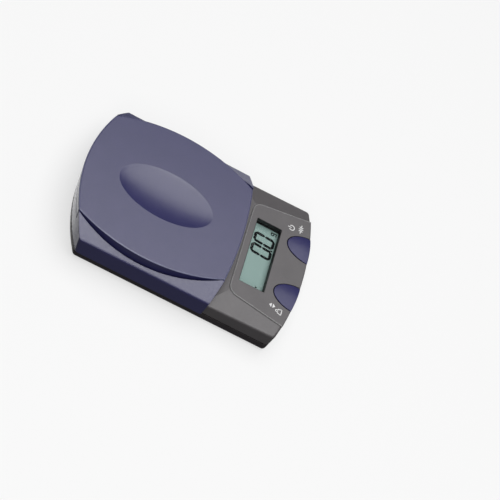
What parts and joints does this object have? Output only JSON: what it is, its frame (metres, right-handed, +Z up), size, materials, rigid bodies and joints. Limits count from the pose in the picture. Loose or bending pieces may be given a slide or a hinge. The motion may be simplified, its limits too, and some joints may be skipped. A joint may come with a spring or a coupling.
{
  "type": "portable balance",
  "caption": "Hand-held electronic balance: bowed weighing platform with a shallow oval dish, sloping cheeks, sunk display window and push buttons at the front.",
  "frame": {"origin": "middle of the footprint, on the plane that the feet stand on", "axes": "+Z up, +Y towards the rear (platform end), display and buttons at -Y, +X to the user's right"},
  "size_m": [0.08, 0.1149, 0.0208],
  "materials": {
    "charcoal_plastic": "fine texture, semi-matt",
    "blue_plastic": "satin",
    "button_plastic": "satin",
    "black_plastic": "matt",
    "clear_plastic": "gloss",
    "rubber": "matt",
    "silicone": "matt",
    "aluminium": "brushed",
    "steel": "zinc plated",
    "plated_spring_steel": "nickel plated",
    "gauge_foil": "satin",
    "battery_can": "sleeved, satin",
    "glass": "gloss",
    "circuit_board": "satin",
    "chip_epoxy": "matt"
  },
  "bodies": {
    "housing": {"base_shell": "charcoal_plastic", "side_housing": "blue_plastic", "display_housing": "charcoal_plastic", "load_cell": "aluminium", "strain_gauges": "gauge_foil", "load_cell_screws": "steel", "overload_stop_screw": "steel", "batteries": "battery_can", "battery_contacts": "plated_spring_steel", "display_window": "clear_plastic", "display_frame": "black_plastic", "display_glass": "glass", "contact_strips": "silicone", "main_board": "circuit_board", "controller_chip": "chip_epoxy", "amplifier_chip": "chip_epoxy", "key_switches": "black_plastic", "board_screws": "steel", "housing_screws": "steel", "rubber_feet": "rubber"},
    "platform": {"weighing_platform": "blue_plastic", "platform_carrier": "aluminium", "platform_pads": "rubber", "carrier_screws": "steel"},
    "power_button": {"power_button": "button_plastic"},
    "unit_button": {"unit_button": "button_plastic"},
    "battery_door": {"battery_door": "charcoal_plastic"}
  },
  "joints": [
    {"name": "platform_load", "type": "slide", "parent": "housing", "child": "platform", "axis": [0, 0, -1], "range_m": [0, 0.0004], "stiffness_N_per_m": 8000, "deforming": ["load_cell"]},
    {"name": "power_button_press", "type": "slide", "parent": "housing", "child": "power_button", "axis": [0, 0, -1], "range_m": [0, 0.0008], "stiffness_N_per_m": 800},
    {"name": "unit_button_press", "type": "slide", "parent": "housing", "child": "unit_button", "axis": [0, 0, -1], "range_m": [0, 0.0008], "stiffness_N_per_m": 800},
    {"name": "battery_door_hinge", "type": "hinge", "parent": "housing", "child": "battery_door", "pos_m": [0, 0.0254, 0.0008], "axis": [-1, 0, 0], "range_deg": [0, 75]}
  ]
}
